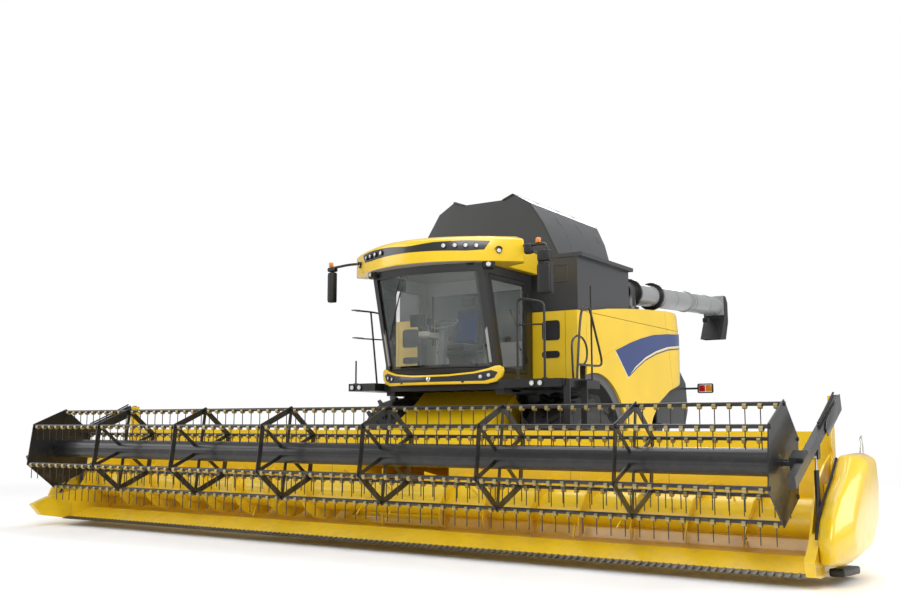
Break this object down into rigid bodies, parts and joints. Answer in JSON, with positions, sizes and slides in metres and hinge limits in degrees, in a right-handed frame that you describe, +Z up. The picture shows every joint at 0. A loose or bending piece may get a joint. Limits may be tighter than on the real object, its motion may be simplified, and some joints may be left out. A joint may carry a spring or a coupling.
{
  "type": "combine harvester",
  "caption": "Self-propelled grain combine with a wide bat-reel header, cab, grain tank with open covers, folded unloading tube and steered rear axle.",
  "frame": {"origin": "on the ground, in the middle of the whole machine's outline in plan", "axes": "+Z up, the machine faces -Y, +X to its left side"},
  "size_m": [11.46, 10.7958, 4.8932],
  "materials": {
    "yellow_paint": "gloss",
    "dark_grey_paint": "satin",
    "black_paint": "satin",
    "silver_paint": "satin",
    "grey_plastic": "matte",
    "black_plastic": "matte",
    "tyre": "matte",
    "rim_paint": "satin",
    "cast_iron": "matte",
    "steel": "satin",
    "chrome": "polished",
    "glass": "clear",
    "seat_fabric": "matte"
  },
  "bodies": {
    "chassis": {"chassis_frame": "black_paint", "front_axle": "cast_iron", "rear_axle": "cast_iron", "threshing_body": "dark_grey_paint", "engine_block": "cast_iron", "engine_deck": "dark_grey_paint", "straw_hood": "dark_grey_paint", "straw_chopper": "black_paint", "shoulder_panels": "yellow_paint", "front_fenders": "grey_plastic", "grain_tank": "dark_grey_paint", "tank_covers": "dark_grey_paint", "cab_shell": "black_plastic", "cab_glass": "glass", "cab_roof": "yellow_paint", "operator_seat": "seat_fabric", "steering_console": "grey_plastic", "front_bumper": "yellow_paint", "platforms": "black_paint", "handrails": "black_paint", "mirrors": "black_plastic", "rear_lamps": "black_plastic"},
    "front_left_wheel": {"front_left_tyre": "tyre", "front_left_rim": "rim_paint"},
    "front_right_wheel": {"front_right_tyre": "tyre", "front_right_rim": "rim_paint"},
    "left_steering": {"rear_left_knuckle": "cast_iron"},
    "right_steering": {"rear_right_knuckle": "cast_iron"},
    "rear_left_wheel": {"rear_left_tyre": "tyre", "rear_left_rim": "rim_paint"},
    "rear_right_wheel": {"rear_right_tyre": "tyre", "rear_right_rim": "rim_paint"},
    "header": {"feeder_house": "yellow_paint", "header_pan": "yellow_paint", "header_back": "yellow_paint", "header_walls": "yellow_paint", "header_shields": "yellow_paint", "crop_dividers": "yellow_paint", "cutterbar": "steel"},
    "header_screw": {"header_auger": "yellow_paint"},
    "arms": {"reel_arms": "black_paint"},
    "reel_slides": {"reel_bearings": "cast_iron"},
    "reel_rotor": {"reel": "black_paint"},
    "lift_barrels": {"lift_cylinder_barrels": "black_paint"},
    "lift_rods": {"lift_cylinder_rods": "chrome"},
    "reel_barrels": {"reel_cylinder_barrels": "black_paint"},
    "reel_rods": {"reel_cylinder_rods": "chrome"},
    "unloader": {"unloading_tube": "silver_paint", "unloading_spout": "black_plastic"},
    "door": {"cab_door": "black_plastic", "cab_door_glass": "glass"},
    "panel_left": {"side_panel_left": "yellow_paint"},
    "panel_right": {"side_panel_right": "yellow_paint"},
    "ladder": {"access_ladder": "black_paint"},
    "tines_1": {"tine_bar_1": "black_paint"},
    "tines_2": {"tine_bar_2": "black_paint"},
    "tines_3": {"tine_bar_3": "black_paint"},
    "tines_4": {"tine_bar_4": "black_paint"},
    "tines_5": {"tine_bar_5": "black_paint"},
    "tines_6": {"tine_bar_6": "black_paint"}
  },
  "joints": [
    {"name": "front_left_roll", "type": "hinge", "parent": "chassis", "child": "front_left_wheel", "pos_m": [1.37, -1.39, 0.965], "axis": [1, 0, 0], "continuous": true},
    {"name": "rear_left_steer", "type": "hinge", "parent": "chassis", "child": "left_steering", "pos_m": [1, 2.37, 0.655], "axis": [0, 0, 1], "range_deg": [-38, 38]},
    {"name": "rear_left_roll", "type": "hinge", "parent": "left_steering", "child": "rear_left_wheel", "pos_m": [1.36, 2.37, 0.655], "axis": [1, 0, 0], "continuous": true},
    {"name": "front_right_roll", "type": "hinge", "parent": "chassis", "child": "front_right_wheel", "pos_m": [-1.37, -1.39, 0.965], "axis": [1, 0, 0], "continuous": true},
    {"name": "rear_right_steer", "type": "hinge", "parent": "chassis", "child": "right_steering", "pos_m": [-1, 2.37, 0.655], "axis": [0, 0, 1], "range_deg": [-38, 38]},
    {"name": "rear_right_roll", "type": "hinge", "parent": "right_steering", "child": "rear_right_wheel", "pos_m": [-1.36, 2.37, 0.655], "axis": [1, 0, 0], "continuous": true},
    {"name": "header_lift", "type": "hinge", "parent": "chassis", "child": "header", "pos_m": [0, -1.73, 1.9], "axis": [-1, 0, 0], "range_deg": [0, 16]},
    {"name": "header_auger_spin", "type": "hinge", "parent": "header", "child": "header_screw", "pos_m": [0, -3.88, 0.57], "axis": [1, 0, 0], "continuous": true},
    {"name": "reel_lift", "type": "hinge", "parent": "header", "child": "arms", "pos_m": [0, -3.4, 1.7], "axis": [-1, 0, 0], "range_deg": [-4, 18]},
    {"name": "reel_fore_aft", "type": "slide", "parent": "arms", "child": "reel_slides", "axis": [0, -0.9289, -0.3703], "range_m": [-0.05, 0.3]},
    {"name": "reel_spin", "type": "hinge", "parent": "reel_slides", "child": "reel_rotor", "pos_m": [0, -4.83, 1.13], "axis": [1, 0, 0], "continuous": true},
    {"name": "tine_bar_1_turn", "type": "hinge", "parent": "reel_rotor", "child": "tines_1", "pos_m": [0, -4.76109, 1.66054], "axis": [1, 0, 0], "continuous": true},
    {"name": "tine_bar_2_turn", "type": "hinge", "parent": "reel_rotor", "child": "tines_2", "pos_m": [0, -4.33608, 1.3356], "axis": [1, 0, 0], "continuous": true},
    {"name": "tine_bar_3_turn", "type": "hinge", "parent": "reel_rotor", "child": "tines_3", "pos_m": [0, -4.40499, 0.80505], "axis": [1, 0, 0], "continuous": true},
    {"name": "tine_bar_4_turn", "type": "hinge", "parent": "reel_rotor", "child": "tines_4", "pos_m": [0, -4.89891, 0.59946], "axis": [1, 0, 0], "continuous": true},
    {"name": "tine_bar_5_turn", "type": "hinge", "parent": "reel_rotor", "child": "tines_5", "pos_m": [0, -5.32392, 0.9244], "axis": [1, 0, 0], "continuous": true},
    {"name": "tine_bar_6_turn", "type": "hinge", "parent": "reel_rotor", "child": "tines_6", "pos_m": [0, -5.25501, 1.45495], "axis": [1, 0, 0], "continuous": true},
    {"name": "lift_cylinder_tilt", "type": "hinge", "parent": "chassis", "child": "lift_barrels", "pos_m": [0, -1.64, 0.76], "axis": [-1, 0, 0], "range_deg": [-2, 20]},
    {"name": "lift_cylinder_stroke", "type": "slide", "parent": "lift_barrels", "child": "lift_rods", "axis": [0, -0.9603, -0.2788], "range_m": [-0.01, 0.33]},
    {"name": "reel_cylinder_tilt", "type": "hinge", "parent": "header", "child": "reel_barrels", "pos_m": [0, -4.312, 0.45], "axis": [-1, 0, 0], "range_deg": [-8, 3]},
    {"name": "reel_cylinder_stroke", "type": "slide", "parent": "reel_barrels", "child": "reel_rods", "axis": [0, -0.0377, 0.9993], "range_m": [-0.075, 0.325]},
    {"name": "unloader_swing", "type": "hinge", "parent": "chassis", "child": "unloader", "pos_m": [1.33, 0.77, 3.3], "axis": [0, 0, -1], "range_deg": [0, 105]},
    {"name": "cab_door_swing", "type": "hinge", "parent": "chassis", "child": "door", "pos_m": [0.932, -1.764, 2.8], "axis": [0, 0, 1], "range_deg": [0, 80]},
    {"name": "side_panel_left_lift", "type": "hinge", "parent": "chassis", "child": "panel_left", "pos_m": [1.605, 0, 3.04], "axis": [0, -1, 0], "range_deg": [0, 70]},
    {"name": "side_panel_right_lift", "type": "hinge", "parent": "chassis", "child": "panel_right", "pos_m": [-1.605, 0, 3.04], "axis": [0, 1, 0], "range_deg": [0, 70]},
    {"name": "ladder_swing", "type": "hinge", "parent": "chassis", "child": "ladder", "pos_m": [1.966, -2.715, 2], "axis": [0, 0, -1], "range_deg": [0, 90]}
  ],
  "couplings": [
    {"joint": "rear_right_steer", "follows": "rear_left_steer", "ratio": 1},
    {"joint": "lift_cylinder_tilt", "follows": "header_lift", "ratio": 1.0649},
    {"joint": "lift_cylinder_stroke", "follows": "header_lift", "m_per_rad": 1.1359},
    {"joint": "reel_cylinder_tilt", "follows": "reel_lift", "ratio": -0.3469},
    {"joint": "reel_cylinder_stroke", "follows": "reel_lift", "m_per_rad": 1.0068},
    {"joint": "tine_bar_1_turn", "follows": "reel_spin", "ratio": -1},
    {"joint": "tine_bar_2_turn", "follows": "reel_spin", "ratio": -1},
    {"joint": "tine_bar_3_turn", "follows": "reel_spin", "ratio": -1},
    {"joint": "tine_bar_4_turn", "follows": "reel_spin", "ratio": -1},
    {"joint": "tine_bar_5_turn", "follows": "reel_spin", "ratio": -1},
    {"joint": "tine_bar_6_turn", "follows": "reel_spin", "ratio": -1}
  ]
}
